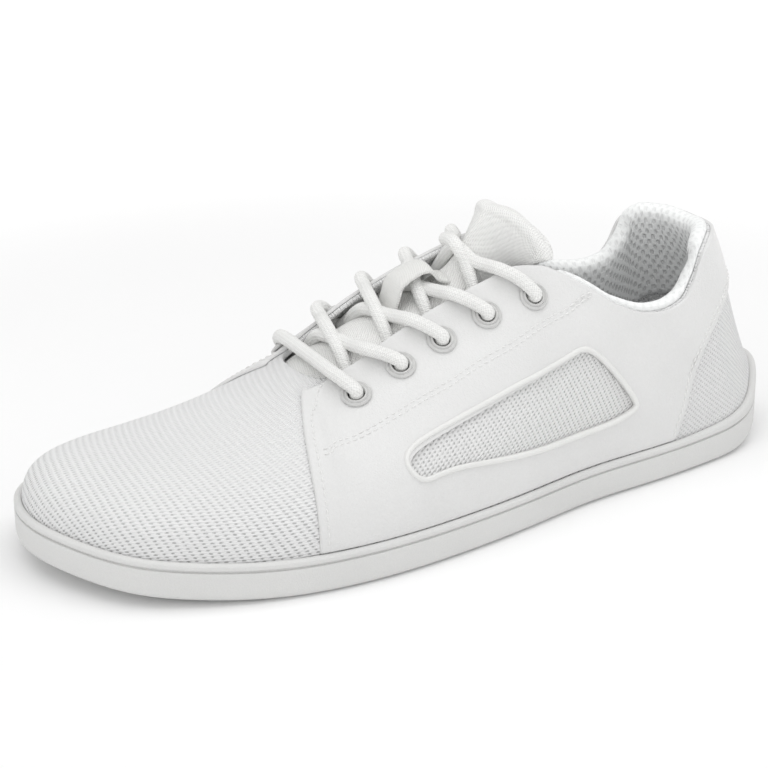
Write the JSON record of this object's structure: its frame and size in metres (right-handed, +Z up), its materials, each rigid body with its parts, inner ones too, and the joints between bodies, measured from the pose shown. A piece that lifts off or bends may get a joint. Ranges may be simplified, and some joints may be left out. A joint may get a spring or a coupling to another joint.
{
  "type": "barefoot shoe",
  "caption": "Low lace-up barefoot shoe for the left foot: thin flat sole, mesh upper, smooth leather quarters with side windows, padded collar, tongue and round laces.",
  "frame": {"origin": "on the ground under the middle of the shoe's box", "axes": "+Z up, +Y from the toe to the heel, +X from the inner (medial) side to the outer (lateral) side"},
  "size_m": [0.1075, 0.285, 0.1005],
  "materials": {
    "outsole_rubber": "matte fine texture",
    "midsole_foam": "matte",
    "insole_fabric": "matte",
    "upper_mesh": "air mesh",
    "quarter_leather": "smooth fine grain",
    "piping": "smooth",
    "collar_lining": "open spacer mesh",
    "tongue_fabric": "fine twill",
    "eyelet_enamel": "satin enamel",
    "lace_cotton": "round braid"
  },
  "bodies": {
    "root": {"outsole": "outsole_rubber", "midsole": "midsole_foam", "insole": "insole_fabric", "upper": "upper_mesh", "quarter_lateral": "quarter_leather", "quarter_medial": "quarter_leather", "window_piping_lateral": "piping", "window_piping_medial": "piping", "collar_pad": "collar_lining", "tongue": "tongue_fabric", "eyelet_lateral_1": "eyelet_enamel", "eyelet_lateral_2": "eyelet_enamel", "eyelet_lateral_3": "eyelet_enamel", "eyelet_lateral_4": "eyelet_enamel", "eyelet_lateral_5": "eyelet_enamel", "eyelet_medial_1": "eyelet_enamel", "eyelet_medial_2": "eyelet_enamel", "eyelet_medial_3": "eyelet_enamel", "eyelet_medial_4": "eyelet_enamel", "eyelet_medial_5": "eyelet_enamel", "lace_keeper": "tongue_fabric", "lace_bar": "lace_cotton", "lace_cross_1": "lace_cotton", "lace_cross_2": "lace_cotton", "lace_cross_3": "lace_cotton", "lace_cross_4": "lace_cotton"}
  },
  "joints": []
}
